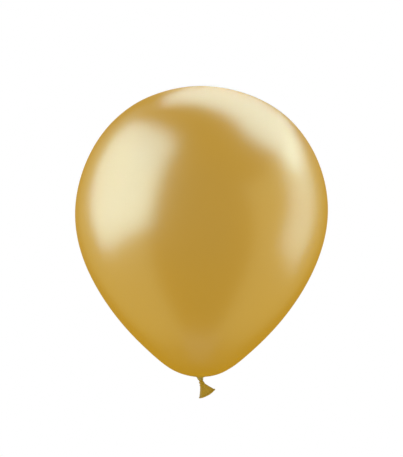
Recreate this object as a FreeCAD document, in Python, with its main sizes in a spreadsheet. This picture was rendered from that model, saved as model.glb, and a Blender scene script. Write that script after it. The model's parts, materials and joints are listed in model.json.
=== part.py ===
import FreeCAD, Part

import math
import os

import Sketcher
from FreeCAD import Placement, Rotation, Vector

# A round latex party balloon, blown up and tied, in millimetres.
#
# The real balloon is one dipped film of rubber. It is split here where it bends:
# the gas-tight envelope, the gathered neck, the overhand knot, and the loose tail with
# its rolled lip. The origin is the waist of the neck, where a ribbon is tied, with +Z
# up through the envelope and +X to the side that the tail leans to.

SIZES = {
    # Envelope: handles of the smooth line that is spun round the balloon's axis.
    # Each level is a height above the bottom of the envelope.
    "envelope_height": 345.7,
    "crown_reach": 35.8,
    "shoulder_reach": 116.6,
    "shoulder_level": 318.3,
    "belly_reach": 166.9,
    "belly_level": 194.9,
    "hip_reach": 116.9,
    "hip_level": 84.1,
    "taper_reach": 52.7,
    "taper_level": 21.5,
    "base_reach": 22.6,
    "skin": 0.35,
    # Neck: the gathered film from the bottom of the envelope to the waist.
    "neck_length": 6.15,
    "neck_root_radius": 3.4,
    "waist_radius": 2.25,
    "waist_overhang": 0.5,
    "neck_lean": 22.0,
    # Knot: a strand that enters and leaves, and two bands that cross over it.
    "knot_lean": 13.0,
    "strand_radius": 1.6,
    "entry_rise": 1.68,
    "exit_length": 0.1,
    "band_ring_radius": 2.1,
    "band_radius": 1.0,
    "band_tilt": 27.0,
    # Tail: flattened film that flares from the knot to the rolled lip.
    "tail_lean": 29.0,
    "film_half_thickness": 1.0,
    "throat_top_half_width": 4.4,
    "throat_end_half_width": 6.0,
    "throat_length": 1.9,
    "flare_middle_half_width": 7.9,
    "flare_middle_half_thickness": 1.2,
    "flare_length": 7.9,
    "film_wall": 0.4,
    "flare_floor": 0.8,
    "mouth_half_width": 8.9,
    "mouth_half_thickness": 1.3,
    "lip_radius": 0.8,
    # Clearances between pieces that bend against each other, and at the lip's seam.
    "bend_gap": 0.3,
    "flap_gap": 0.2,
    "lip_seam": 0.02,
}


# A turn that leans a piece's lower end to +X. Its angle is set by an expression.
LEANING = Placement(Vector(), Rotation(Vector(0, -1, 0), 1))


# Sizes and the expressions that hold them ------------------------------------------


class Size:
    """A number together with the spreadsheet expression that it comes from."""

    def __init__(self, value, text):
        self.value = value
        self.text = text

    def joined(self, other, sign, value):
        return Size(value, f"({self.text} {sign} {other.text})")

    def __add__(self, other):
        other = size_of(other)
        return self.joined(other, "+", self.value + other.value)

    def __sub__(self, other):
        other = size_of(other)
        return self.joined(other, "-", self.value - other.value)

    def __mul__(self, other):
        other = size_of(other)
        return self.joined(other, "*", self.value * other.value)

    def __truediv__(self, other):
        other = size_of(other)
        return self.joined(other, "/", self.value / other.value)

    def __neg__(self):
        return size_of(0) - self


def size_of(term):
    """A named size, a plain number or a Size, as a Size."""
    if isinstance(term, Size):
        return term
    if isinstance(term, str):
        return Size(SIZES[term], f"Sizes.{term}")
    return Size(float(term), repr(term))


def sine(angle):
    angle = size_of(angle)
    return Size(math.sin(math.radians(angle.value)), f"sin({angle.text} * 1 deg)")


def cosine(angle):
    angle = size_of(angle)
    return Size(math.cos(math.radians(angle.value)), f"cos({angle.text} * 1 deg)")


def bind(thing, path, term):
    """Ties a property of an object to an expression on the sheet."""
    thing.setExpression(path, size_of(term).text)


def place(thing, path, base, lean=0):
    """Ties a placement: its base point, and its turn about Y in degrees."""
    for axis, term in zip("xyz", base):
        bind(thing, f"{path}.Base.{axis}", term)
    bind(thing, f"{path}.Rotation.Angle", lean)


def fill_sheet(document):
    sheet = document.addObject("Spreadsheet::Sheet", "Sizes")
    for row, (name, number) in enumerate(SIZES.items(), start=1):
        sheet.set(f"A{row}", name)
        sheet.set(f"B{row}", str(number))
        sheet.setAlias(f"B{row}", name)
    document.recompute()
    return sheet


# Sketch helpers ---------------------------------------------------------------------


def new_sketch(body, name, role, level=0):
    """A sketch on one of a body's own planes, lifted off it by a level."""
    plane = next(f for f in body.Origin.OriginFeatures if f.Role == role)
    sketch = body.newObject("Sketcher::SketchObject", name)
    sketch.AttachmentSupport = [(plane, "")]
    sketch.MapMode = "FlatFace"
    bind(sketch, "AttachmentOffset.Base.z", level)
    return sketch


def dimension(sketch, kind, *where_and_term):
    """Adds a driving dimension to a sketch and ties it to an expression."""
    *where, term = where_and_term
    term = size_of(term)
    index = sketch.addConstraint(Sketcher.Constraint(kind, *where, term.value))
    bind(sketch, f"Constraints[{index}]", term)


def pin(sketch, geometry, vertex, across, up):
    """Holds a point of a sketch at a place, counted from the sketch's origin."""
    for kind, axis, term in (("DistanceX", -2, across), ("DistanceY", -1, up)):
        if size_of(term).value == 0:
            sketch.addConstraint(Sketcher.Constraint("PointOnObject", geometry, vertex, axis))
        else:
            dimension(sketch, kind, -1, 1, geometry, vertex, term)


def add_curve(sketch, handles):
    """A smooth cubic line whose handles are held at their places. Returns its index."""
    points = [Vector(size_of(x).value, size_of(y).value, 0) for x, y in handles]
    curve = Part.BSplineCurve()
    curve.buildFromPoles(points, False, 3)
    index = sketch.addGeometry(curve, False)
    sketch.exposeInternalGeometry(index)
    for step, (x, y) in enumerate(handles, start=1):
        pin(sketch, index + step, 3, x, y)
    return index


def add_oval(sketch, half_width, half_thickness):
    """A flattened tube's section: two flat sides with a round fold at each end."""
    half_width, half_thickness = size_of(half_width), size_of(half_thickness)
    r = half_thickness.value
    a = half_width.value - r
    quarter = math.pi / 2
    up = Vector(0, 0, 1)
    sketch.addGeometry(Part.LineSegment(Vector(-a, r, 0), Vector(a, r, 0)), False)
    sketch.addGeometry(
        Part.ArcOfCircle(Part.Circle(Vector(a, 0, 0), up, r), -quarter, quarter), False
    )
    sketch.addGeometry(Part.LineSegment(Vector(a, -r, 0), Vector(-a, -r, 0)), False)
    sketch.addGeometry(
        Part.ArcOfCircle(Part.Circle(Vector(-a, 0, 0), up, r), quarter, 3 * quarter), False
    )
    for line, end, arc, arc_end in ((0, 2, 1, 2), (2, 1, 1, 1), (2, 2, 3, 2), (0, 1, 3, 1)):
        sketch.addConstraint(Sketcher.Constraint("Tangent", line, end, arc, arc_end))
    sketch.addConstraint(Sketcher.Constraint("Horizontal", 0))
    sketch.addConstraint(Sketcher.Constraint("Symmetric", 1, 3, 3, 3, -1, 1))
    dimension(sketch, "Radius", 1, half_thickness)
    dimension(sketch, "DistanceX", -1, 1, 1, 3, half_width - half_thickness)


def add_loft(body, kind, name, sketches):
    loft = body.newObject(f"PartDesign::{kind}", name)
    loft.Profile = sketches[0]
    loft.Sections = sketches[1:]
    return loft


def add_revolution(body, name, sketch, axis):
    turn = body.newObject("PartDesign::Revolution", name)
    turn.Profile = sketch
    turn.ReferenceAxis = (sketch, [axis])
    turn.Angle = 360
    return turn


# Where the pieces hang together ------------------------------------------------------

# The envelope's bottom, which is also the middle of the neck's ball-shaped root
root_x = -(size_of("neck_length") * sine("neck_lean"))
root_z = size_of("neck_length") * cosine("neck_lean")

# The middle of the neck's domed end, from the root along the neck, and as a place
dome = size_of("neck_length") + "waist_overhang" - "waist_radius"
dome_x = root_x + dome * sine("neck_lean")
dome_z = root_z - dome * cosine("neck_lean")

# The middle of the knot, in line with the dome along the strand that enters it
knot_span = size_of("waist_radius") + "bend_gap" + "entry_rise"
knot_x = dome_x + knot_span * sine("knot_lean")
knot_z = dome_z - knot_span * cosine("knot_lean")

# How far the strand leaves the knot along the tail, past the lowest that a band can reach
exit_bend = size_of("tail_lean") - "knot_lean"
exit_drop = (
    size_of("band_ring_radius") * sine(exit_bend + "band_tilt") + "band_radius" + "exit_length"
)

# Levels along the tail's own axis, counted down from the middle of the knot
throat_top = exit_drop + "bend_gap"
flap_pivot = throat_top + "throat_length"
flare_top = flap_pivot + "film_half_thickness" + "flap_gap"
lip_level = flap_pivot + "flare_length"
flare_end = lip_level - "lip_radius" - "lip_seam"


# The pieces ---------------------------------------------------------------------------


def make_envelope(document):
    """The gas-tight skin: a smooth line spun about the axis, open only at the neck."""
    body = document.addObject("PartDesign::Body", "envelope")
    hole = size_of("neck_root_radius") + "bend_gap"
    height, skin = size_of("envelope_height"), size_of("skin")
    levels = ("shoulder", "belly", "hip", "taper")

    def inside(level):
        """A level of the inner face, squeezed so that the skin is as thick at both poles."""
        return skin + size_of(level) * (height - skin * 2) / height

    outer = [(0, height), ("crown_reach", height)]
    outer += [(f"{name}_reach", f"{name}_level") for name in levels]
    outer += [("base_reach", 0), (hole, 0)]
    inner = [(0, height - skin), ("crown_reach", height - skin)]
    inner += [(size_of(f"{name}_reach") - skin, inside(f"{name}_level")) for name in levels]
    inner += [("base_reach", skin), (hole, skin)]

    sketch = new_sketch(body, "envelope_profile", "XZ_Plane")
    outer_line = add_curve(sketch, outer)
    inner_line = add_curve(sketch, inner)
    for end, start in ((1, outer[0]), (2, outer[-1])):
        x, z = (size_of(term).value for term in start)
        cap = sketch.addGeometry(
            Part.LineSegment(Vector(x, z, 0), Vector(x, z + skin.value * (2 * end - 3), 0)), False
        )
        sketch.addConstraint(Sketcher.Constraint("Coincident", cap, 1, outer_line, end))
        sketch.addConstraint(Sketcher.Constraint("Coincident", cap, 2, inner_line, end))
    add_revolution(body, "envelope_spin", sketch, "V_Axis")
    place(body, "Placement", (root_x, 0, root_z))
    return body


def make_neck(document):
    """The gathered film: a ball-shaped root, a taper and a domed end below the waist."""
    body = document.addObject("PartDesign::Body", "neck")
    root, waist = size_of("neck_root_radius"), size_of("waist_radius")
    tip = dome + waist
    up = Vector(0, 0, 1)
    quarter = math.pi / 2

    sketch = new_sketch(body, "neck_profile", "XZ_Plane")
    sketch.addGeometry(
        Part.ArcOfCircle(Part.Circle(Vector(0, 0, 0), up, root.value), 0, quarter), False
    )
    sketch.addGeometry(
        Part.LineSegment(Vector(root.value, 0, 0), Vector(waist.value, -dome.value, 0)), False
    )
    sketch.addGeometry(
        Part.ArcOfCircle(Part.Circle(Vector(0, -dome.value, 0), up, waist.value), -quarter, 0),
        False,
    )
    sketch.addGeometry(
        Part.LineSegment(Vector(0, -tip.value, 0), Vector(0, root.value, 0)), False
    )
    for first, end, second, start in ((0, 1, 1, 1), (1, 2, 2, 2), (2, 1, 3, 1), (3, 2, 0, 2)):
        sketch.addConstraint(Sketcher.Constraint("Coincident", first, end, second, start))
    sketch.addConstraint(Sketcher.Constraint("Coincident", 0, 3, -1, 1))
    sketch.addConstraint(Sketcher.Constraint("PointOnObject", 0, 1, -1))
    sketch.addConstraint(Sketcher.Constraint("PointOnObject", 0, 2, -2))
    sketch.addConstraint(Sketcher.Constraint("PointOnObject", 2, 3, -2))
    sketch.addConstraint(Sketcher.Constraint("PointOnObject", 2, 1, -2))
    sketch.addConstraint(Sketcher.Constraint("Horizontal", 2, 3, 2, 2))
    dimension(sketch, "Radius", 0, root)
    dimension(sketch, "Radius", 2, waist)
    dimension(sketch, "DistanceY", 2, 3, -1, 1, dome)
    add_revolution(body, "neck_spin", sketch, "V_Axis")
    body.Placement = LEANING
    place(body, "Placement", (root_x, 0, root_z), "neck_lean")
    return body


def make_knot(document):
    """A pulled-tight overhand knot: the strand in and out, and the two bands crossing it."""
    entry = document.addObject("Part::Cylinder", "entry_strand")
    bind(entry, "Radius", "strand_radius")
    bind(entry, "Height", "entry_rise")
    leave = document.addObject("Part::Cylinder", "exit_strand")
    bind(leave, "Radius", "strand_radius")
    bind(leave, "Height", exit_drop)
    leave.Placement = LEANING
    base = (exit_drop * sine(exit_bend), 0, -(exit_drop * cosine(exit_bend)))
    place(leave, "Placement", base, exit_bend)
    pieces = [entry, leave]
    for name, turn in (("front_band", 1), ("back_band", -1)):
        band = document.addObject("Part::Torus", name)
        bind(band, "Radius1", "band_ring_radius")
        bind(band, "Radius2", "band_radius")
        band.Placement = Placement(Vector(), Rotation(Vector(turn, 0, 0), 1))
        bind(band, "Placement.Rotation.Angle", "band_tilt")
        pieces.append(band)
    knot = document.addObject("Part::MultiFuse", "knot")
    knot.Shapes = pieces
    knot.Refine = True
    knot.Placement = LEANING
    place(knot, "Placement", (knot_x, 0, knot_z), "knot_lean")
    return knot


def make_tail_throat(document):
    """The film spreading out of the knot, ending in a round edge that the flare folds on."""
    body = document.addObject("PartDesign::Body", "tail_throat")
    thickness = size_of("film_half_thickness")
    wide = size_of("throat_end_half_width")
    top = new_sketch(body, "throat_top", "XY_Plane", -throat_top)
    add_oval(top, "throat_top_half_width", thickness)
    end = new_sketch(body, "throat_end", "XY_Plane", -flap_pivot)
    add_oval(end, wide, thickness)
    add_loft(body, "AdditiveLoft", "throat_loft", [top, end])

    edge = new_sketch(body, "throat_edge", "XY_Plane", -flap_pivot)
    r, a = thickness.value, wide.value - thickness.value
    up = Vector(0, 0, 1)
    quarter = math.pi / 2
    edge.addGeometry(Part.LineSegment(Vector(-a - r, 0, 0), Vector(a + r, 0, 0)), False)
    edge.addGeometry(Part.ArcOfCircle(Part.Circle(Vector(a, 0, 0), up, r), 0, quarter), False)
    edge.addGeometry(Part.LineSegment(Vector(a, r, 0), Vector(-a, r, 0)), False)
    edge.addGeometry(
        Part.ArcOfCircle(Part.Circle(Vector(-a, 0, 0), up, r), quarter, 2 * quarter), False
    )
    for line, line_end, arc, arc_end in ((2, 1, 1, 2), (2, 2, 3, 1)):
        edge.addConstraint(Sketcher.Constraint("Tangent", line, line_end, arc, arc_end))
    for line, line_end, arc, arc_end in ((0, 2, 1, 1), (0, 1, 3, 2)):
        edge.addConstraint(Sketcher.Constraint("Coincident", line, line_end, arc, arc_end))
    edge.addConstraint(Sketcher.Constraint("PointOnObject", 0, 1, -1))
    edge.addConstraint(Sketcher.Constraint("PointOnObject", 0, 2, -1))
    edge.addConstraint(Sketcher.Constraint("Horizontal", 2))
    edge.addConstraint(Sketcher.Constraint("Symmetric", 1, 3, 3, 3, -1, 1))
    dimension(edge, "Radius", 1, thickness)
    pin(edge, 1, 3, wide - thickness, 0)
    add_revolution(body, "throat_round_edge", edge, "H_Axis")
    place_on_tail(body)
    return body


def make_tail_flare(document):
    """The loose end of the film: a flattened tube, closed at the throat, open at the lip."""
    body = document.addObject("PartDesign::Body", "tail_flare")
    wall = size_of("film_wall")
    half_wall = wall / 2
    middle = (flare_top + flare_end) / 2
    stations = [
        (flare_top, size_of("throat_end_half_width"), size_of("film_half_thickness")),
        (middle, size_of("flare_middle_half_width"), size_of("flare_middle_half_thickness")),
        (flare_end, half_wall + "mouth_half_width", half_wall + "mouth_half_thickness"),
    ]
    outer = []
    inner = []
    for number, (level, half_width, half_thickness) in enumerate(stations, start=1):
        section = new_sketch(body, f"flare_outside_{number}", "XY_Plane", -level)
        add_oval(section, half_width, half_thickness)
        outer.append(section)
    add_loft(body, "AdditiveLoft", "flare_skin", outer)
    for number, (level, half_width, half_thickness) in enumerate(stations, start=1):
        depth = level + "flare_floor" if number == 1 else level
        section = new_sketch(body, f"flare_inside_{number}", "XY_Plane", -depth)
        add_oval(section, half_width - wall, half_thickness - wall)
        inner.append(section)
    add_loft(body, "SubtractiveLoft", "flare_hollow", inner)
    place_on_tail(body)
    return body


def make_rolled_lip(document):
    """The rolled rim of the mouth: a round roll that follows the mouth's oval."""
    body = document.addObject("PartDesign::Body", "rolled_lip")
    path = new_sketch(body, "lip_path", "XY_Plane", -lip_level)
    add_oval(path, "mouth_half_width", "mouth_half_thickness")
    roll = new_sketch(body, "lip_roll", "XZ_Plane")
    centre = Vector(SIZES["mouth_half_width"], -lip_level.value, 0)
    roll.addGeometry(Part.Circle(centre, Vector(0, 0, 1), SIZES["lip_radius"]), False)
    dimension(roll, "Radius", 0, "lip_radius")
    dimension(roll, "DistanceX", -1, 1, 0, 3, "mouth_half_width")
    dimension(roll, "DistanceY", 0, 3, -1, 1, lip_level)
    pipe = body.newObject("PartDesign::AdditivePipe", "lip_pipe")
    pipe.Profile = roll
    pipe.Spine = (path, [f"Edge{number}" for number in range(1, 5)])
    place_on_tail(body)
    return body


def place_on_tail(thing):
    """Sets a piece in the tail's frame: the knot's middle, leaning as the tail leans."""
    thing.Placement = LEANING
    place(thing, "Placement", (knot_x, 0, knot_z), "tail_lean")


# The document, its test and the files -------------------------------------------------


def check(document, pieces):
    """Stops if any object failed, or any piece is not one closed solid or more."""
    for thing in document.Objects:
        if "Invalid" in thing.State or "Error" in thing.State:
            raise RuntimeError(f"{thing.Label}: {thing.State}")
    for piece in pieces:
        shape = piece.Shape
        if shape.isNull() or not shape.isValid() or not shape.Solids:
            raise RuntimeError(f"{piece.Label} has no sound shape")
        box = shape.BoundBox
        print(
            f"{piece.Label}: {len(shape.Solids)} solid, {shape.Volume:.2f} mm3,",
            f"x {box.XMin:.2f} {box.XMax:.2f}, y {box.YMin:.2f} {box.YMax:.2f},",
            f"z {box.ZMin:.2f} {box.ZMax:.2f}",
        )


def main():
    document = FreeCAD.newDocument("latex_balloon")
    fill_sheet(document)
    pieces = [
        make_envelope(document),
        make_neck(document),
        make_knot(document),
        make_tail_throat(document),
        make_tail_flare(document),
        make_rolled_lip(document),
    ]
    document.recompute()
    check(document, pieces)
    os.makedirs("parts", exist_ok=True)
    for piece in pieces:
        piece.Shape.exportStep(f"parts/{piece.Label}.step")


main()
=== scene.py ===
# %% [markdown]
# # A latex party balloon, blown up and tied
#
# The balloon was built first as solids: an envelope, a neck, a knot and a tail, joined
# where the soft film bends. This notebook dresses those solids. Each cell makes one
# piece or one finish, and prints what it made.

# %% The frame
import json
import math

import bpy
import numpy as np
from mathutils import Matrix, Vector


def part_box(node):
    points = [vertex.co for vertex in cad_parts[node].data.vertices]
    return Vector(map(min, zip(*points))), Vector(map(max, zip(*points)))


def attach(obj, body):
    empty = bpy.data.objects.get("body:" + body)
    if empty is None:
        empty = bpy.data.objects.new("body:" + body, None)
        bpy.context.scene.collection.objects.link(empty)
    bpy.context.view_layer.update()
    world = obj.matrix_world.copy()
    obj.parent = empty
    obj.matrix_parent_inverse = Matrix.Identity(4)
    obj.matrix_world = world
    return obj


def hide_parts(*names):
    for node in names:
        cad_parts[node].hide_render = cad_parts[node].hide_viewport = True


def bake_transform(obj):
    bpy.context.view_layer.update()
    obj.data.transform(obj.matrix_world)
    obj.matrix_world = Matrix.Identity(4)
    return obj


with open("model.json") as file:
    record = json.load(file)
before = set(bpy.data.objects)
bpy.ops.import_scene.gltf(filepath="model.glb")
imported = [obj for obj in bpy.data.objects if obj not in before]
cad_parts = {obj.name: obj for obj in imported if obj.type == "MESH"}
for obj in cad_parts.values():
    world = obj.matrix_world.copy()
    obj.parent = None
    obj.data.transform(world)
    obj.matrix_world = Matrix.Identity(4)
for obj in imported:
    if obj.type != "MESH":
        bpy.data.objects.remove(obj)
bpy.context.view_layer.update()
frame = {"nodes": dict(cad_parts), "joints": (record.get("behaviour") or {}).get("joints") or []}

print("frame:", sorted(frame["nodes"]))

# %% [markdown]
# ## Landmarks
#
# The joints say where the film bends, and the boxes of the solids say how wide the belly
# is and where the rolled lip ends. All later cells start from these few points, so the
# pieces sit where the solids are and bend where the joints are.

# %% Landmarks
MM = 0.001  # the scene is in metres
joints = {joint["name"]: joint for joint in frame["joints"]}
neck_root = Vector(joints["neck_sway"]["pos_m"])
neck_end = Vector(joints["knot_nod"]["pos_m"])
knot_middle = Vector(joints["tail_twist"]["pos_m"])
tail_down = Vector(joints["tail_twist"]["axis"]).normalized()
tail_wide = Vector(joints["tail_flap"]["axis"]).normalized()
tail_thick = tail_wide.cross(tail_down).normalized()

skin_low, skin_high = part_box("envelope")
belly_radius = (skin_high.x - skin_low.x) / 2
envelope_height = skin_high.z - skin_low.z
lip_low, lip_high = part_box("rolled_lip")
lip_middle = (lip_low + lip_high) / 2
lip_distance = (lip_middle - knot_middle).dot(tail_down)
print(f"belly {belly_radius / MM:.1f} mm, height {envelope_height / MM:.1f} mm")
print(f"lip lies {lip_distance / MM:.2f} mm from the knot's middle")

# %% [markdown]
# ## Selecting
#
# Blender's operators act on whatever is selected, and the solids are selected when they
# are loaded, so each piece starts from an empty selection. Points are selected in code,
# by their place. A helper that enters edit mode also leaves it.


# %% Selection helpers
def deselect_all():
    if bpy.context.object and bpy.context.object.mode != "OBJECT":
        bpy.ops.object.mode_set(mode="OBJECT")
    bpy.ops.object.select_all(action="DESELECT")


def activate(piece):
    deselect_all()
    piece.select_set(True)
    bpy.context.view_layer.objects.active = piece


def choose_points(piece, chosen):
    """Selects these points and nothing else."""
    activate(piece)
    bpy.ops.object.mode_set(mode="EDIT")
    bpy.ops.mesh.select_mode(type="VERT")
    bpy.ops.mesh.select_all(action="DESELECT")
    bpy.ops.object.mode_set(mode="OBJECT")
    piece.data.vertices.foreach_set("select", chosen)


def chosen_points(piece):
    chosen = np.zeros(len(piece.data.vertices), bool)
    piece.data.vertices.foreach_get("select", chosen)
    return chosen


print("selection helpers ready")

# %% [markdown]
# ## Shaping
#
# Soft film has few straight lines, so most shaping here is a formula. All points of a
# piece are read as one array, moved together and written back. Doubled points are then
# merged and the faces turned outwards, since a wrong face would push a wall outwards
# instead of inwards.


# %% Shaping helpers
def points_of(piece):
    flat = np.empty(len(piece.data.vertices) * 3)
    piece.data.vertices.foreach_get("co", flat)
    return flat.reshape(-1, 3)


def set_points(piece, points):
    piece.data.vertices.foreach_set("co", np.asarray(points, float).ravel())
    piece.data.update()


def tidy_mesh(piece, merge=1e-7):
    """Merges doubled points and turns every face outwards."""
    activate(piece)
    bpy.ops.object.mode_set(mode="EDIT")
    bpy.ops.mesh.select_all(action="SELECT")
    bpy.ops.mesh.remove_doubles(threshold=merge)
    bpy.ops.mesh.normals_make_consistent(inside=False)
    bpy.ops.object.mode_set(mode="OBJECT")
    bpy.ops.object.shade_smooth()


def apply_modifier(piece, kind, **settings):
    activate(piece)
    modifier = piece.modifiers.new(kind.title(), kind)
    for name, value in settings.items():
        setattr(modifier, name, value)
    bpy.ops.object.modifier_apply(modifier=modifier.name)


def smooth(low, high, value):
    """0 below low, 1 above high, smooth between."""
    share = np.clip((value - low) / (high - low), 0, 1)
    return share * share * (3 - 2 * share)


def say(piece):
    print(f"{piece.name}: {len(piece.data.vertices)} points, {len(piece.data.polygons)} faces")


print("shaping helpers ready")


# %% [markdown]
# ## The envelope's outline
#
# A blown-up balloon is a solid of revolution: a nearly round crown and belly that run
# into a straight taper and a small flat base. One smooth NURBS line with eight handles
# holds that whole outline. The handles are shares of the belly's radius and of the
# height, so the line follows the solid if its size changes.

# %% Outline
OUTLINE = [
    # across, as a share of the belly's radius; up, as a share of the height
    (0.0, 1.0),
    (0.2384, 1.0),
    (0.7766, 0.9207),
    (1.1116, 0.5638),
    (0.7786, 0.2433),
    (0.3550, 0.0622),
    (0.1640, 0.0),
    (0.0, 0.0),
]


def draw_outline(name, handles, steps):
    """The outline as a mesh line in the XZ plane, on the envelope's axis."""
    curve = bpy.data.curves.new(name, "CURVE")
    curve.dimensions = "3D"
    line = curve.splines.new("NURBS")
    line.points.add(len(handles) - 1)
    for point, (across, up) in zip(line.points, handles):
        x = neck_root.x + across * belly_radius
        z = neck_root.z + up * envelope_height
        point.co = (x, 0, z, 1)
    line.use_endpoint_u = True
    line.order_u = 4
    line.resolution_u = steps
    piece = bpy.data.objects.new(name, curve)
    bpy.context.scene.collection.objects.link(piece)
    activate(piece)
    bpy.ops.object.convert(target="MESH")
    return bpy.context.object


print("outline handles:", len(OUTLINE))

# %% [markdown]
# ## The skin: envelope and neck in one film
#
# The film of the envelope runs on into the neck without a seam, so both are one mesh.
# The outline is spun round the axis, as a potter would turn it. The point at the bottom
# is opened, and the rim of that hole is pulled down the leaning neck ring by ring.
# Towards the knot the film has far too much width for the thin neck, so it gathers into
# pleats, which fade out a little way up the envelope.

# %% Spin the skin
AROUND = 144
STEPS_PER_HANDLE = 14
SPUN_DOUBLES = 2e-6  # the last turn of a spin lands this close to the first


def spin_skin():
    piece = draw_outline("balloon_skin", OUTLINE, STEPS_PER_HANDLE)
    activate(piece)
    bpy.ops.object.mode_set(mode="EDIT")
    bpy.ops.mesh.select_all(action="SELECT")
    bpy.ops.mesh.spin(steps=AROUND, angle=2 * math.pi, center=neck_root, axis=(0, 0, 1))
    bpy.ops.object.mode_set(mode="OBJECT")
    tidy_mesh(piece, SPUN_DOUBLES)
    return piece


skin = spin_skin()
say(skin)

# %% [markdown]
# ## Gathered film
#
# Rubber that is pulled into a thin neck folds into lengthwise pleats, some deep, some
# shallow. Three waves of different counts give that uneven rhythm, and whole counts make
# the pleats meet again after a full turn.

# %% Pleats
PLEATS = 12
PLEAT_DEPTH = 0.26 * MM


def gather(turn):
    """The height of the pleats at an angle round the neck, from -1 to 1."""
    main = 0.55 * np.cos(PLEATS * turn)
    slow = 0.30 * np.cos(7 * turn + 1.3)
    fine = 0.15 * np.cos(19 * turn + 0.4)
    return main + slow + fine


print("deepest pleat:", round(float(gather(np.linspace(0, 6.28, 400)).max()), 2))

# %% [markdown]
# ## Opening the base and drawing out the neck
#
# The point at the bottom of the spun skin is cut away. The rim of that hole is extruded
# eighteen times, and each new ring is set on the neck's leaning axis: first a small
# round from the flat base into the neck, then the neck itself, getting thinner down to
# the waist above the knot, and the last rings tuck in under the strand that comes next.

# %% Draw the neck
NECK_RINGS = 18
BASE_HOLE = 8 * MM
NECK_RADIUS = 3.45 * MM
ROUND_DEPTH = 1.3 * MM  # how far below the base the small round ends
NECK_DEPTH = 2.75 * MM
neck_axis = (neck_end - neck_root).normalized()
neck_lean = math.atan2(neck_axis.x, -neck_axis.z)


def open_base(piece, radius):
    """Deletes the points nearer to the axis than radius, at the bottom only."""
    points = points_of(piece)
    across = np.hypot(points[:, 0] - neck_root.x, points[:, 1] - neck_root.y)
    low = points[:, 2] < neck_root.z + 20 * MM
    choose_points(piece, (across < radius) & low)
    bpy.ops.object.mode_set(mode="EDIT")
    bpy.ops.mesh.delete(type="VERT")
    bpy.ops.mesh.select_all(action="DESELECT")
    bpy.ops.mesh.select_non_manifold()
    bpy.ops.object.mode_set(mode="OBJECT")


def neck_profile(share, rim_radius, rim_rise):
    """Radius and distance down the axis, at a share of the way from rim to end."""
    if share < 0.5:
        t = share / 0.5
        radii = (rim_radius, 5.3 * MM, 3.9 * MM, NECK_RADIUS)
        drops = (-rim_rise, -0.05 * MM, 0.1 * MM, ROUND_DEPTH)
        weights = ((1 - t) ** 3, 3 * t * (1 - t) ** 2, 3 * t * t * (1 - t), t ** 3)
        radius = sum(w * r for w, r in zip(weights, radii))
        drop = sum(w * d for w, d in zip(weights, drops))
        return radius, drop
    t = (share - 0.5) / 0.5
    waist, tuck = 0.75 * MM * smooth(0, 1, t), 0.4 * MM * smooth(0.75, 1, t)
    return NECK_RADIUS - waist - tuck, ROUND_DEPTH + NECK_DEPTH * t


def draw_neck(piece):
    open_base(piece, BASE_HOLE)
    rim = points_of(piece)[chosen_points(piece)]
    rim_radius = float(np.hypot(rim[:, 0] - neck_root.x, rim[:, 1]).mean())
    rim_rise = float(rim[:, 2].mean() - neck_root.z)
    for ring in range(NECK_RINGS):
        activate(piece)
        bpy.ops.object.mode_set(mode="EDIT")
        bpy.ops.mesh.extrude_region_move(TRANSFORM_OT_translate={"value": (0, 0, -MM)})
        bpy.ops.object.mode_set(mode="OBJECT")
        points = points_of(piece)
        chosen = chosen_points(piece)
        if ring == 0:
            angles = np.arctan2(points[chosen, 1], points[chosen, 0] - neck_root.x)
        radius, drop = neck_profile((ring + 1) / NECK_RINGS, rim_radius, rim_rise)
        lean = neck_lean * float(smooth(-0.2 * MM, 2 * MM, drop))
        centre = neck_root + neck_axis * drop
        if drop < 0:
            centre = Vector((neck_root.x, 0, neck_root.z - drop))
        points[chosen, 0] = centre.x + radius * np.cos(angles) * math.cos(lean)
        points[chosen, 1] = radius * np.sin(angles)
        points[chosen, 2] = centre.z + radius * np.cos(angles) * math.sin(lean)
        set_points(piece, points)


draw_neck(skin)
say(skin)

# %% [markdown]
# ## Folding the pleats and giving the film its thickness
#
# The pleats push the film out and in along its own normals. They are deepest at the
# neck and die away over the flat base. No balloon is blown up quite evenly, so the skin
# then settles a little to one side. Solidify gives the film its wall last, inwards, so
# the outline stays where it is.

# %% Fold and thicken the skin
PLEATS_FADE_FROM, PLEATS_FADE_TO = 4 * MM, 24 * MM
SHOULDER_SHIFT = 1.8 * MM
CROWN_DROP = 0.9 * MM
BASE_SHIFT = 0.8 * MM
SKIN_WALL = 0.3 * MM


def fold_skin(piece):
    points = points_of(piece)
    normals = np.empty(len(points) * 3)
    piece.data.vertices.foreach_get("normal", normals)
    normals = normals.reshape(-1, 3)
    across = np.hypot(points[:, 0] - neck_root.x, points[:, 1])
    down = neck_root.z - points[:, 2]
    centre_x = neck_root.x + np.clip(down, 0, None) * math.tan(neck_lean)
    turn = np.arctan2(points[:, 1], points[:, 0] - centre_x)
    fade = 1 - smooth(PLEATS_FADE_FROM, PLEATS_FADE_TO, across)
    low = points[:, 2] < neck_root.z + 12 * MM
    depth = np.where(low, PLEAT_DEPTH * fade ** 1.5, 0)
    moved = points + normals * (depth * gather(turn))[:, None]
    set_points(piece, moved)


def settle_skin(piece):
    """Moves shoulder and base a little to the right, and lets the crown sink."""
    points = points_of(piece)
    above = points[:, 2] - neck_root.z
    lift = above / envelope_height
    shoulder = smooth(0.36, 0.78, lift)
    crown = smooth(0.88, 1.0, lift)
    slim = 1 - 0.006 * shoulder
    points[:, 0] = neck_root.x + (points[:, 0] - neck_root.x) * slim
    points[:, 1] = points[:, 1] * slim
    base = smooth(-2.4 * MM, 0, above) * (1 - smooth(0, 10 * MM, above))
    points[:, 0] += SHOULDER_SHIFT * shoulder * (1 - 0.6 * crown) + BASE_SHIFT * base
    points[:, 2] -= CROWN_DROP * smooth(0.93, 1.0, lift)
    set_points(piece, points)


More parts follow.
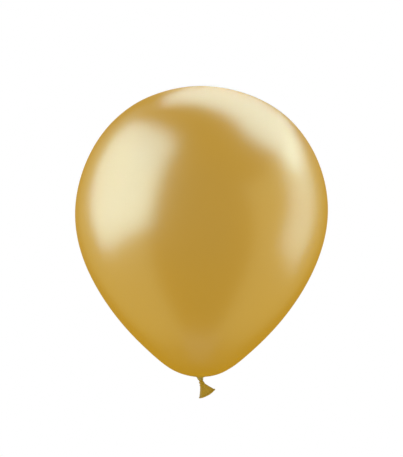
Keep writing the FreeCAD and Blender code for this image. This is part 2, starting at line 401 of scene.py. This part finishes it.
tidy_mesh(skin, SPUN_DOUBLES)
fold_skin(skin)
settle_skin(skin)
apply_modifier(skin, "SOLIDIFY", thickness=SKIN_WALL, offset=-1)
bpy.ops.object.shade_smooth()
say(skin)

# %% [markdown]
# ## A helper for soft tubes
#
# The strand, the knot, the throat and the flare are all film tubes whose section changes
# along the way. A circle is extruded into a straight tube, and then every ring is laid
# where its formula puts it. The two ends are closed, also where they are hidden inside
# a neighbour.


# %% Draw a tube
def draw_tube(name, rings, around, section):
    """A closed tube; section(share, turn) gives its points, share going from 0 to 1."""
    deselect_all()
    bpy.ops.mesh.primitive_circle_add(vertices=around, radius=1, fill_type="NGON")
    piece = bpy.context.object
    piece.name = name
    bpy.ops.object.mode_set(mode="EDIT")
    bpy.ops.mesh.select_all(action="SELECT")
    for _ in range(rings - 1):
        bpy.ops.mesh.extrude_region_move(TRANSFORM_OT_translate={"value": (0, 0, 1)})
    bpy.ops.object.mode_set(mode="OBJECT")
    points = points_of(piece)
    share = np.round(points[:, 2]) / (rings - 1)
    turn = np.arctan2(points[:, 1], points[:, 0])
    set_points(piece, section(share, turn))
    tidy_mesh(piece)
    return piece


print("tube helper ready")

# %% [markdown]
# ## Smooth lines and rings along them
#
# A tube needs a middle line and, at each ring, two directions across it. The line runs
# through a few handles, as a bent wire would. The directions are carried from ring to
# ring, so the tube doesn't twist where its line turns.


# %% Lines and rings
def through(handles, share):
    """A smooth line through evenly spaced handles, read at share (0 to 1)."""
    handles = np.asarray(handles, float)
    place = np.clip(share, 0, 1) * (len(handles) - 1)
    left = np.clip(np.floor(place).astype(int), 0, len(handles) - 2)
    t = place - left
    if handles.ndim > 1:
        t = t[:, None]
    before = handles[np.clip(left - 1, 0, None)]
    after = handles[np.clip(left + 2, None, len(handles) - 1)]
    start, end = handles[left], handles[left + 1]
    bend = 2 * before - 5 * start + 4 * end - after
    twist = 3 * start - before - 3 * end + after
    return start + 0.5 * t * (end - before + t * (bend + t * twist))


def frames_along(centres):
    """For every ring, two directions across the line that don't twist on the way."""
    ahead = np.gradient(centres, axis=0)
    ahead /= np.linalg.norm(ahead, axis=1)[:, None]
    side = np.zeros_like(ahead)
    side[0] = np.cross((0.0, 1.0, 0.0), ahead[0])
    side[0] /= np.linalg.norm(side[0])
    for ring in range(1, len(centres)):
        step = side[ring - 1] - ahead[ring] * np.dot(side[ring - 1], ahead[ring])
        side[ring] = step / np.linalg.norm(step)
    return side, np.cross(ahead, side)


def ring_points(centres, share, turn, radius, across=1):
    """Points of round rings on a line; across is -1 to start them on the other side."""
    side, up = frames_along(centres)
    ring = np.round(share * (len(centres) - 1)).astype(int)
    cosine, sine = np.cos(turn)[:, None], np.sin(turn)[:, None]
    return centres[ring] + radius[:, None] * (across * cosine * side[ring] + sine * up[ring])


print("line helpers ready")

# %% [markdown]
# ## The strand that enters the knot
#
# Below the waist the gathered neck dives into the knot. It starts inside the skin's
# lower end with the same pleats, so the film seems to run through, and it ends inside
# the knot. It is a piece of its own.

# %% Entry strand
knot_axis = (knot_middle - neck_end).normalized()
ENTRY_RINGS = 26
ENTRY_RADII = [2.75, 2.64, 2.54, 2.44, 2.05, 1.5, 1.1]  # millimetres
ENTRY_START = 3.2 * MM
ENTRY_SHORT_OF_KNOT = 1.0 * MM


def entry_line():
    start = neck_root + neck_axis * ENTRY_START
    inside = knot_middle - knot_axis * ENTRY_SHORT_OF_KNOT
    handles = [start, (start + neck_end) / 2, neck_end, (neck_end + inside) / 2, inside]
    return through(np.array(handles), np.linspace(0, 1, ENTRY_RINGS))


def entry_section(share, turn):
    pleats = PLEAT_DEPTH * gather(turn) * (1 - 0.4 * smooth(0.4, 1, share))
    radius = through(ENTRY_RADII, share) * MM + pleats
    return ring_points(entry_line(), share, turn, radius, -1)


entry = draw_tube("knot_entry", ENTRY_RINGS, 96, entry_section)
say(entry)

# %% [markdown]
# ## The knot
#
# Balloons are closed with an overhand knot: the gathered film goes round itself and
# through its own loop. Six handles lay the first half of that path in strand widths;
# a half turn about the Y axis gives the second half, because the knot has that symmetry.
# The path runs along X here and is then turned onto the line from neck to tail.

# %% Overhand knot
HALF_KNOT = [
    # along the path from neck to tail, aside and to the front, in strand widths
    (-2.5, 0.12, 0.0),
    (-2.0, 0.12, 0.05),
    (-1.30, -0.30, 0.35),
    (-0.05, 0.45, -0.98),
    (1.45, 1.12, 0.55),
    (1.02, -1.02, 1.05),
]
STRAND_WIDTH = 1.62 * MM
KNOT_RINGS = 240
KNOT_SQUEEZE = 0.86  # the knot is pulled tight along its path
CREASE_DEPTH = 0.1 * MM


def knot_line():
    half = np.array(HALF_KNOT)
    other = half[::-1] * (-1, 1, -1)
    path = through(np.concatenate([half, other]), np.linspace(0, 1, KNOT_RINGS))
    ahead = np.array(knot_axis)
    front = np.array((0.0, 1.0, 0.0))
    aside = np.cross(front, ahead)
    spread = KNOT_SQUEEZE * path[:, :1] * ahead + path[:, 1:2] * aside + path[:, 2:] * front
    return np.array(knot_middle) + spread * STRAND_WIDTH


def knot_section(share, turn):
    ends = np.abs(share - 0.5) * 2
    radius = STRAND_WIDTH * (0.78 - 0.5 * smooth(0.68, 0.95, ends))
    creases = 0.55 * np.cos(8 * turn + 5 * share) + 0.3 * np.cos(13 * turn - 8 * share + 1)
    return ring_points(knot_line(), share, turn, radius + CREASE_DEPTH * creases)


knot = draw_tube("knot_band", KNOT_RINGS, 72, knot_section)
say(knot)

# %% [markdown]
# ## The tail
#
# Past the knot the film is no longer stretched. It spreads into a flat, slightly wavy
# fan. One width line and one set of waves serve the whole tail, so its pieces can't part
# company. The tail is cut in two where it flaps: the throat, just below the knot, and
# the flare, which runs down to the rolled lip.

# %% Tail film
TAIL_HALF_WIDTHS = [2.2, 3.55, 4.4, 5.25, 6.15, 7.15, 8.25, 9.15, 9.7]  # millimetres
TAIL_START = 0.4 * MM
MOUTH_BULGE = 1.65 * MM
MOUTH = lip_distance + 0.65 * MM
MOUTH_DROOP = 0.6 * MM
film_down = np.array(tail_down)
film_wide = np.array(tail_wide)
film_thick = np.array(tail_thick)
tail_root = np.array(knot_middle)


def tail_half_width(along):
    return through(TAIL_HALF_WIDTHS, (along - TAIL_START) / (MOUTH - TAIL_START)) * MM


def tail_wave(along, across):
    """How far the film swings out of its flat plane."""
    share = smooth(1.0 * MM, MOUTH, along)
    slow = 0.55 * np.sin(2.2 * across + 0.5)
    folds = 0.26 * np.sin(6.3 * across + 2.6) + 0.14 * np.sin(11 * across - 0.4)
    gathers = 0.13 * np.sin(17 * across + 1.1) * (1 - smooth(0.3, 1, share))
    return MM * (slow * share + folds * (0.45 + 0.75 * share) + gathers)


def tail_point(along, across, half_thickness, turn):
    """A point of the film: across goes from -1 to 1, turn picks the front or back."""
    width = tail_half_width(along)
    swing = tail_wave(along, across) + half_thickness * np.sin(turn)
    share = (along / MOUTH) ** 2
    bulge = MOUTH_BULGE * share * (1 - across ** 2)
    droop = MOUTH_DROOP * share * (1 - across) / 2
    lengthwise = np.outer(along + bulge, film_down)
    sideways = np.outer(width * across - droop, film_wide)
    return tail_root + lengthwise + sideways + np.outer(swing, film_thick)


print("the mouth is", round(2 * float(tail_half_width(np.array(MOUTH))) / MM, 1), "mm wide")

# %% [markdown]
# ## The throat
#
# Just under the knot the film is still a thick bundle. It flattens on its way down and
# ends at the line where the tail flaps. The flare starts inside it, so that no gap opens
# when the tail moves.

# %% Throat film
THROAT_START = 0.5 * MM
THROAT_LENGTH = 4.3 * MM
THROAT_HALF_THICKNESS = 1.65 * MM


def throat_section(share, turn):
    along = THROAT_START + THROAT_LENGTH * share
    thinner, tuck = smooth(0.26, 0.84, share), smooth(0.84, 1, share)
    half_thickness = THROAT_HALF_THICKNESS - (0.8 * thinner + 0.3 * tuck) * MM
    creases = 0.06 * MM * np.cos(11 * turn + 0.7) * (1 - share)
    across = np.cos(turn) * (1 - 0.02 * smooth(0.8, 1, share))
    return tail_point(along, across, half_thickness + creases, turn)


throat = draw_tube("tail_throat_film", 30, 96, throat_section)
say(throat)

# %% [markdown]
# ## The flare
#
# The loose end is a flattened tube, open at the mouth. Its rings run down the outside,
# turn in at the mouth, and come back up the inside, so the film has two faces and a real
# wall.

# %% Flare film
FLARE_START = 3.2 * MM
INSIDE_START = FLARE_START + 0.8 * MM
FLARE_HALF_THICKNESS = 0.82 * MM
MOUTH_HALF_THICKNESS = 1.3 * MM
FLARE_WALL = 0.28 * MM


def flare_section(share, turn):
    outside = share < 0.5
    trip = np.where(outside, share / 0.5, (1 - share) / 0.5)
    start = np.where(outside, FLARE_START, INSIDE_START)
    along = start + (MOUTH - start) * np.clip(trip * 1.02, 0, 1)
    opening = (MOUTH_HALF_THICKNESS - FLARE_HALF_THICKNESS) * smooth(FLARE_START, MOUTH, along)
    inset = np.where(outside, 0.0, FLARE_WALL)
    half_thickness = FLARE_HALF_THICKNESS + opening - inset
    across = np.cos(turn) * (1 - inset / tail_half_width(along))
    return tail_point(along, across, half_thickness, turn)


flare = draw_tube("tail_flare_film", 72, 112, flare_section)
say(flare)

# %% [markdown]
# ## The rolled lip
#
# The mouth of a balloon is rolled up when it is made, so that it does not tear. The roll
# keeps its round section even when the film beside it is flat. A ring is reshaped onto
# the mouth's oval and follows the same waves as the flare.

# %% Rolled lip
LIP_RADIUS = 0.92 * MM
RING_RADIUS = 4  # of the plain ring that the lip is shaped from
A_BIT_FURTHER = 0.01  # radians


def mouth_edge(turn):
    along = np.full(len(turn), MOUTH)
    return tail_point(along, np.cos(turn), MOUTH_HALF_THICKNESS, turn)


def draw_lip():
    deselect_all()
    bpy.ops.mesh.primitive_torus_add(
        major_segments=144, minor_segments=20, major_radius=RING_RADIUS, minor_radius=1
    )
    piece = bpy.context.object
    piece.name = "lip_roll"
    points = points_of(piece)
    turn = np.arctan2(points[:, 1], points[:, 0])
    out = np.hypot(points[:, 0], points[:, 1]) - RING_RADIUS
    up = points[:, 2]
    middle = mouth_edge(turn)
    ahead = mouth_edge(turn + A_BIT_FURTHER) - middle
    ahead /= np.linalg.norm(ahead, axis=1)[:, None]
    outward = np.cross(ahead, film_down)
    outward /= np.linalg.norm(outward, axis=1)[:, None]
    uneven = 1 + 0.05 * np.sin(5 * turn + 1) + 0.03 * np.sin(13 * turn)
    radius = (LIP_RADIUS * uneven)[:, None]
    set_points(piece, middle + radius * (out[:, None] * outward + up[:, None] * film_down))
    tidy_mesh(piece)
    return piece


lip = draw_lip()
say(lip)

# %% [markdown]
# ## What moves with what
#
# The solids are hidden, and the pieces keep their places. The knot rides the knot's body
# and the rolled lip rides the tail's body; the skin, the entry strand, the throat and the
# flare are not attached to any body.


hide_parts("envelope", "neck")
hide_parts("knot")
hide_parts("tail_throat")
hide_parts("tail_flare")
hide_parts("rolled_lip")
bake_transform(skin)
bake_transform(entry)
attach(knot, "knot_body")
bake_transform(throat)
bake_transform(flare)
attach(lip, "tail_body")
print("pieces:", ", ".join(p.name for p in (skin, entry, knot, throat, flare, lip)))

# %% [markdown]
# ## Writing shader maths as plain formulas
#
# A shader is a web of nodes. The small class below wraps one socket, so that `+`, `-`,
# `*`, `/` and `**` on it add the Math nodes. Each has a reflected form too, so that a
# plain number may stand on the left, as in `1 - mask`.


# %% Sockets as values
class Value:
    """One socket, on which plain arithmetic builds Math nodes."""

    def __init__(self, finish, socket):
        self.finish = finish
        self.socket = socket

    def maths(self, operation, first, second=0.0, clamp=False):
        settings = {"operation": operation, "use_clamp": clamp}
        return self.finish.add("ShaderNodeMath", settings, {0: first, 1: second})

    def __add__(self, other):
        return self.maths("ADD", self, other)

    def __radd__(self, other):
        return self.maths("ADD", other, self)

    def __sub__(self, other):
        return self.maths("SUBTRACT", self, other)

    def __rsub__(self, other):
        return self.maths("SUBTRACT", other, self)

    def __mul__(self, other):
        return self.maths("MULTIPLY", self, other)

    def __rmul__(self, other):
        return self.maths("MULTIPLY", other, self)

    def __truediv__(self, other):
        return self.maths("DIVIDE", self, other)

    def __rtruediv__(self, other):
        return self.maths("DIVIDE", other, self)

    def __pow__(self, other):
        return self.maths("POWER", self, other)

    def __rpow__(self, other):
        return self.maths("POWER", other, self)

    def clamp(self):
        return self.maths("ADD", self, 0.0, clamp=True)


print("values ready")

# %% [markdown]
# ## One class for all finishes
#
# Every other node goes through `add`, which takes the node's type, then its settings,
# then what goes into its sockets. Settings come first because some of them change which
# sockets a node has. All patterns read the object's own coordinates, so they stay on
# the film when it moves.


# %% Finishes
class Finish:
    """One procedural material."""

    def __init__(self, name):
        self.material = bpy.data.materials.new(name)
        self.material.use_nodes = True
        self.tree = self.material.node_tree
        self.tree.nodes.clear()

    def add(self, kind, settings=None, inputs=None, output=0):
        node = self.tree.nodes.new(kind)
        for name, value in (settings or {}).items():
            setattr(node, name, value)
        for name, value in (inputs or {}).items():
            if isinstance(value, Value):
                self.tree.links.new(value.socket, node.inputs[name])
            else:
                node.inputs[name].default_value = value
        return Value(self, node.outputs[output])

    def ramp(self, value, low, high):
        """0 below low, 1 above high, smooth between."""
        settings = {"interpolation_type": "SMOOTHSTEP"}
        inputs = {"Value": value, "From Min": low, "From Max": high}
        return self.add("ShaderNodeMapRange", settings, inputs)

    def mix(self, factor, first, second):
        settings = {"data_type": "RGBA"}
        return self.add("ShaderNodeMix", settings, {0: factor, 6: first, 7: second}, 2)

    def noise(self, where, scale, detail=2.0):
        inputs = {"Vector": where, "Scale": scale, "Detail": detail}
        return self.add("ShaderNodeTexNoise", {"noise_dimensions": "3D"}, inputs)

    def grain(self, where, scale, strength, depth):
        """The fine unevenness of rubber, for the Normal socket."""
        inputs = {"Strength": strength, "Distance": depth, "Height": self.noise(where, scale)}
        return self.add("ShaderNodeBump", None, inputs)

    def object_place(self):
        place = self.add("ShaderNodeTexCoord", None, None, "Object")
        split = self.add("ShaderNodeSeparateXYZ", None, {"Vector": place})
        node = split.socket.node
        return place, [Value(self, node.outputs[axis]) for axis in range(3)]

    def shader(self, **inputs):
        named = {name.replace("_", " "): value for name, value in inputs.items()}
        return self.add("ShaderNodeBsdfPrincipled", None, named)

    def blend(self, share, first, second):
        return self.add("ShaderNodeMixShader", None, {0: share, 1: first, 2: second})

    def finished(self, shader):
        output = self.tree.nodes.new("ShaderNodeOutputMaterial")
        self.tree.links.new(shader.socket, output.inputs["Surface"])
        return self.material


def paint(piece, material):
    piece.data.materials.clear()
    piece.data.materials.append(material)
    print(f"{piece.name} is painted with {material.name}")


print("finishes can be made")

# %% [markdown]
# ## Stretched latex
#
# Blown up, the film is thin, evenly coloured and satin: a mustard gold with a pearl
# lustre. The lustre comes from fine metallic flakes in the rubber, so the finish mixes a
# matt gold film with a small share of a pale metal. A metal mirrors alike from every
# side, which a varnish doesn't: it would turn white along the rim. Round the neck the
# film is painted darker: partly the deeper gold of thicker, gathered film, partly painted
# shade round the stem. It also darkens a little at the crown, where the mould's tip was.

# %% Skin finish
GOLD = (0.603, 0.318, 0.001, 1)
DEEP_GOLD = (0.558, 0.294, 0.001, 1)
PEARL = (0.63, 0.89, 0.91, 1)
PEARL_SHARE = 0.12
PEARL_ROUGHNESS = 0.295
TIED_GOLD_AND_SHADE = (0.44, 0.275, 0.006, 1)


def stretched_latex():
    finish = Finish("stretched gold latex")
    place, (x, y, z) = finish.object_place()
    aside = x - neck_root.x
    across = (aside * aside + y * y) ** 0.5
    low = 1 - finish.ramp(z, neck_root.z + 2 * MM, neck_root.z + 30 * MM)
    neck_film_and_shade = low * (1 - finish.ramp(across, 3 * MM, 26 * MM))
    crown = finish.ramp(z, neck_root.z + 0.97 * envelope_height, neck_root.z + envelope_height)
    near_tip = crown * (1 - finish.ramp(across, 3 * MM, 15 * MM))
    cloud = finish.noise(place, 9.0, 3.0)
    colour = finish.mix(((cloud - 0.5) * 0.8 + 0.15).clamp(), GOLD, DEEP_GOLD)
    colour = finish.mix(near_tip * 0.5, colour, DEEP_GOLD)
    # Painted shade: round the stem the base is darkened towards the tied gold, which is also the
    # deeper colour of the thicker, gathered film there.
    colour = finish.mix(neck_film_and_shade, colour, TIED_GOLD_AND_SHADE)
    grain = finish.grain(place, 900.0, 0.06, 0.2 * MM)
    film = finish.shader(
        Base_Color=colour, Roughness=0.5, Specular_IOR_Level=0.0, IOR=1.5, Normal=grain
    )
    pearl = finish.shader(
        Base_Color=PEARL, Roughness=PEARL_ROUGHNESS + 0.03 * cloud, Metallic=1.0, Normal=grain
    )
    return finish.finished(finish.blend(PEARL_SHARE, film, pearl))


paint(skin, stretched_latex())

# %% [markdown]
# ## Slack latex
#
# Where the film isn't stretched it is thicker, so its gold is deeper and its surface
# duller. It deepens a little more towards the mouth. Along the tail's folded edges an
# olive painted shade is laid over the gold. The place along and across the tail is worked
# out from the object's coordinates, as the tail doesn't hang straight.

# %% Slack finishes
SLACK_GOLD = (0.43, 0.265, 0.006, 1)
OLIVE_EDGE_SHADE = (0.31, 0.215, 0.006, 1)


def slack_latex(name, roughness):
    """Film that is not stretched: its gold deepens a little from knot to mouth."""
    finish = Finish(name)
    place, (x, y, z) = finish.object_place()
    aside, height = x - knot_middle.x, z - knot_middle.z
    along = aside * tail_down.x + height * tail_down.z
    across = aside * tail_wide.x + height * tail_wide.z
    spread = finish.ramp(along, 0.5 * MM, 7 * MM)
    from_middle = across / (along * 0.42 + 3.6 * MM)
    folded_edge_shade = finish.ramp(from_middle * from_middle, 0.45, 1.0)
    cloud = finish.noise(place, 240.0, 3.0)
    colour = finish.mix(spread, TIED_GOLD_AND_SHADE, SLACK_GOLD)
    colour = finish.mix(finish.ramp(cloud, 0.4, 0.75) * 0.45, colour, TIED_GOLD_AND_SHADE)
    # Painted shade: the tail's folded edges are darkened towards olive.
    colour = finish.mix(folded_edge_shade * 0.6, colour, OLIVE_EDGE_SHADE)
    shader = finish.shader(
        Base_Color=colour,
        Roughness=roughness + 0.08 * cloud,
        Specular_IOR_Level=0.25,
        IOR=1.5,
        Normal=finish.grain(place, 2200.0, 0.12, 0.1 * MM),
    )
    return finish.finished(shader)


tied = slack_latex("tied gold latex", 0.46)
paint(entry, tied)
paint(knot, tied)
paint(throat, tied)
paint(flare, slack_latex("slack gold latex", 0.48))
paint(lip, slack_latex("rolled lip latex", 0.46))

# %% [markdown]
# ## Studio
#
# A white room lights the balloon evenly, so its colour shows as it is. Lamps that shone
# on the film as well would shade it from one side, and this balloon is lit alike all
# round. The light therefore comes from the room, and the panels that follow are only
# mirrored.

# %% World
world = bpy.data.worlds.new("white studio")
bpy.context.scene.world = world
world.use_nodes = True
background = world.node_tree.nodes["Background"]
background.inputs["Color"].default_value = (1, 1, 1, 1)
background.inputs["Strength"].default_value = 1.0
bpy.context.scene.view_settings.view_transform = "Standard"
print("world:", world.name)

# %% [markdown]
# ## Placing a panel
#
# A round, satin thing mirrors the whole room, so a panel is placed by its direction as
# seen from the balloon and sized by the angle that it fills. What it does in the mirror
# can then be told from those angles alone.

# %% Directions
balloon_middle = Vector((neck_root.x, 0, neck_root.z + envelope_height * 0.5))


def facing(azimuth, elevation, roll, distance):
    """Place of a panel turned to the balloon; azimuth 0 is the camera's side."""
    turn, rise = math.radians(azimuth), math.radians(elevation)
    level = math.cos(rise)
    towards = Vector((math.sin(turn) * level, -math.cos(turn) * level, math.sin(rise)))
    across = Vector((math.cos(turn), math.sin(turn), 0))
    upright = towards.cross(across)
    tilt = math.radians(roll)
    side = across * math.cos(tilt) + upright * math.sin(tilt)
    up = upright * math.cos(tilt) - across * math.sin(tilt)
    place = Matrix((side, up, towards)).transposed().to_4x4()
    place.translation = balloon_middle + towards * distance
    return place


def span(angle, distance):
    """How wide a panel is that fills this angle from this far away."""
    return 2 * distance * math.tan(math.radians(angle / 2))


print("balloon's middle:", [round(c, 3) for c in balloon_middle])

# %% [markdown]
# ## Softboxes
#
# A wide softbox on the left, a strip on the right and a broad one high behind make the
# three soft highlights. They are hidden from the camera and from diffuse light.

# %% Softboxes
SOFTBOX_DISTANCE = 4.0


def softbox(name, azimuth, elevation, wide_angle, tall_angle, roll, strength):
    lamp = bpy.data.lights.new(name, "AREA")
    lamp.shape = "RECTANGLE"
    lamp.size = span(wide_angle, SOFTBOX_DISTANCE)
    lamp.size_y = span(tall_angle, SOFTBOX_DISTANCE)
    lamp.energy = strength * math.pi * lamp.size * lamp.size_y
    lamp.cycles.use_multiple_importance_sampling = False
    holder = bpy.data.objects.new(name, lamp)
    bpy.context.scene.collection.objects.link(holder)
    holder.matrix_world = facing(azimuth, elevation, roll, SOFTBOX_DISTANCE)
    holder.visible_diffuse = False
    holder.visible_camera = False


softbox("left softbox", -82.5, 21.5, 74, 79, 12, 4.15)
softbox("right strip", 103, 3, 38, 60, -11, 2.3)
softbox("rear softbox", 142, 50.5, 73, 50, 0, 4.8)
print("softboxes:", len(bpy.data.lights))

# %% [markdown]
# ## Flags and side cloths
#
# Black flags in front, behind and above keep the pale room from washing out the gold.
# Further out, a cream cloth on each side gives the rims their warm edge. Both kinds are
# seen in reflections and nowhere else.

# %% Cloths
CREAM = (0.86, 0.74, 0.40, 1)
FLAG_DISTANCE = 4.6
CLOTH_DISTANCE = 5.0
black_cloth, cream_cloth = Finish("black cloth"), Finish("cream cloth")
black = black_cloth.finished(
    black_cloth.add("ShaderNodeBsdfDiffuse", None, {"Color": (0, 0, 0, 1)})
)
cream = cream_cloth.finished(
    cream_cloth.add("ShaderNodeEmission", None, {"Color": CREAM, "Strength": 1.0})
)


def hang(name, azimuth, elevation, wide_angle, tall_angle, cloth, distance):
    deselect_all()
    bpy.ops.mesh.primitive_plane_add(size=1)
    panel = bpy.context.object
    panel.name = name
    size = (span(wide_angle, distance), span(tall_angle, distance), 1)
    set_points(panel, points_of(panel) * size)
    panel.matrix_world = facing(azimuth, elevation, 0, distance)
    panel.visible_camera = False
    panel.visible_diffuse = False
    panel.visible_transmission = False
    panel.visible_shadow = False
    paint(panel, cloth)


hang("rear flag", 180, -18, 70, 128, black, FLAG_DISTANCE)
hang("front flag", 0, -18, 92, 144, black, FLAG_DISTANCE)
hang("top flag", -150, 100, 112, 113, black, FLAG_DISTANCE)
hang("left cloth", -95, -10, 110, 130, cream, CLOTH_DISTANCE)
hang("right cloth", 95, -10, 110, 130, cream, CLOTH_DISTANCE)

# %% [markdown]
# ## Floor
#
# The floor is a pale disc well below the balloon, which floats. It fades out towards its
# rim, so it never shows an edge, and the film doesn't mirror it.

# %% Floor
FLOOR_RADIUS = 1.6
FLOOR_DEPTH = 0.42
FADE_FROM, FADE_TO = 0.7, 1.55
PALE = (0.93, 0.93, 0.93, 1)


def pale_floor():
    finish = Finish("pale floor")
    _, (x, y, _) = finish.object_place()
    away = (x * x + y * y) ** 0.5
    pale = finish.shader(Base_Color=PALE, Roughness=0.9)
    clear = finish.add("ShaderNodeBsdfTransparent")
    return finish.finished(finish.blend(finish.ramp(away, FADE_FROM, FADE_TO), pale, clear))


deselect_all()
bpy.ops.mesh.primitive_circle_add(vertices=96, radius=FLOOR_RADIUS, fill_type="NGON")
floor = bpy.context.object
floor.name = "studio_floor"
set_points(floor, points_of(floor) - (0, 0, FLOOR_DEPTH))
paint(floor, pale_floor())
floor.visible_glossy = False

# %% [markdown]
# ## Camera
#
# The camera looks straight at the balloon, level with its middle, from two metres away
# and with a long lens. A short lens close by would swell the near side and change the
# outline. The balloon hangs a third of a degree askew, which the camera's roll gives.

# %% Camera
CAMERA_PLACE = (-1.32 * MM, -2.035, 181.7 * MM)
CAMERA_ROLL = -0.36  # degrees
camera_data = bpy.data.cameras.new("camera")
camera_data.lens = 135
camera_data.sensor_width = 36
camera = bpy.data.objects.new("camera", camera_data)
bpy.context.scene.collection.objects.link(camera)
camera.location = CAMERA_PLACE
camera.rotation_euler = (math.radians(90), math.radians(CAMERA_ROLL), 0)
bpy.context.scene.camera = camera
print("camera at", [round(c, 3) for c in camera.location])
